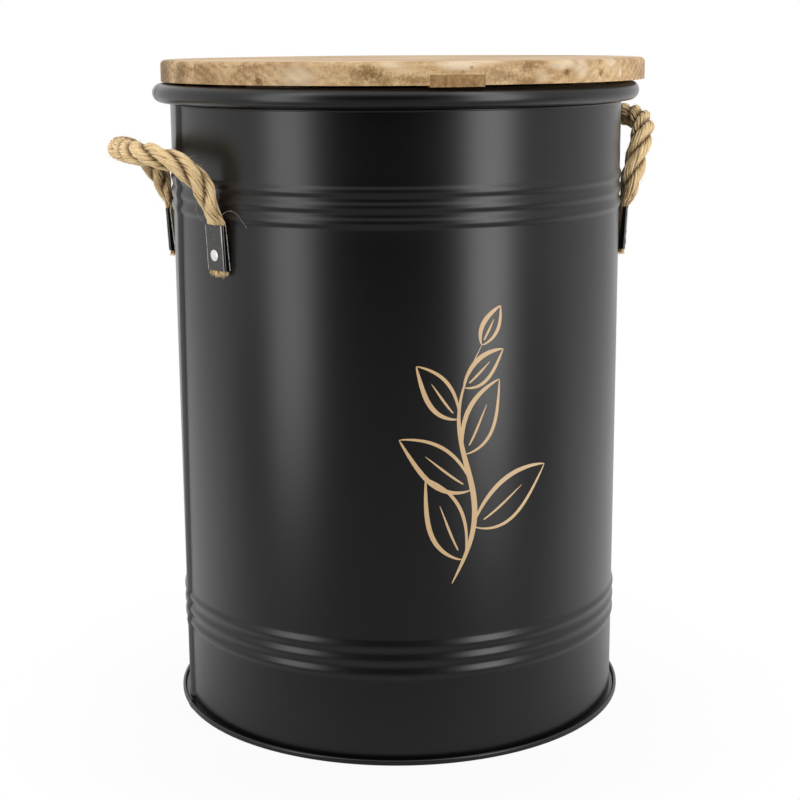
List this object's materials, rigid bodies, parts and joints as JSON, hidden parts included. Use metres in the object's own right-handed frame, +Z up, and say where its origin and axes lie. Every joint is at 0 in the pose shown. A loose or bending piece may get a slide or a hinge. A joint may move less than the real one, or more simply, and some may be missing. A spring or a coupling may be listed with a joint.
{
  "type": "lidded fuel bucket",
  "caption": "Cylindrical sheet-steel bucket with pressed ribs, rolled rim, riveted rope loop handles and a lift-off glued wooden lid, for storing wood pellets.",
  "frame": {"origin": "middle of the base, on the surface that the bucket stands on", "axes": "+Z up along the bucket's axis; the rope handles are on -X (left) and +X (right); the front faces -Y"},
  "size_m": [0.3493, 0.3067, 0.4143],
  "materials": {
    "black_paint": "satin black powder coat on steel sheet",
    "bare_steel": "plain zinc-plated steel",
    "rope": "three-strand natural jute rope",
    "stave_wood": "oiled light hardwood, brushed smooth",
    "batten_wood": "darker wood, end grain showing at the lid's edge"
  },
  "bodies": {
    "bucket": {"body_shell": "black_paint", "bottom_pan": "black_paint", "left_front_clamp": "black_paint", "left_rear_clamp": "black_paint", "right_front_clamp": "black_paint", "right_rear_clamp": "black_paint", "left_front_rivet": "bare_steel", "left_rear_rivet": "bare_steel", "right_front_rivet": "bare_steel", "right_rear_rivet": "bare_steel", "left_front_washer": "bare_steel", "left_rear_washer": "bare_steel", "right_front_washer": "bare_steel", "right_rear_washer": "bare_steel", "left_front_rope_end": "rope", "left_rear_rope_end": "rope", "right_front_rope_end": "rope", "right_rear_rope_end": "rope"},
    "left_handle": {"left_rope_handle": "rope"},
    "right_handle": {"right_rope_handle": "rope"},
    "lid": {"lid_stave_1": "stave_wood", "lid_stave_2": "stave_wood", "lid_stave_3": "stave_wood", "lid_stave_4": "stave_wood", "lid_batten": "batten_wood", "lid_block_1": "stave_wood", "lid_block_2": "stave_wood", "lid_block_3": "stave_wood", "lid_block_4": "stave_wood", "batten_screws": "bare_steel", "block_screws": "bare_steel"}
  },
  "joints": [
    {"name": "lid_lift", "type": "slide", "parent": "bucket", "child": "lid", "axis": [0, 0, 1], "range_m": [0, 0.1]},
    {"name": "left_handle_swing", "type": "hinge", "parent": "bucket", "child": "left_handle", "pos_m": [-0.13811, 0, 0.32967], "axis": [0, -1, 0], "range_deg": [-10, 35], "stiffness_Nm_per_rad": 0.5},
    {"name": "right_handle_swing", "type": "hinge", "parent": "bucket", "child": "right_handle", "pos_m": [0.13811, 0, 0.32967], "axis": [0, 1, 0], "range_deg": [-6, 58], "stiffness_Nm_per_rad": 0.5}
  ]
}
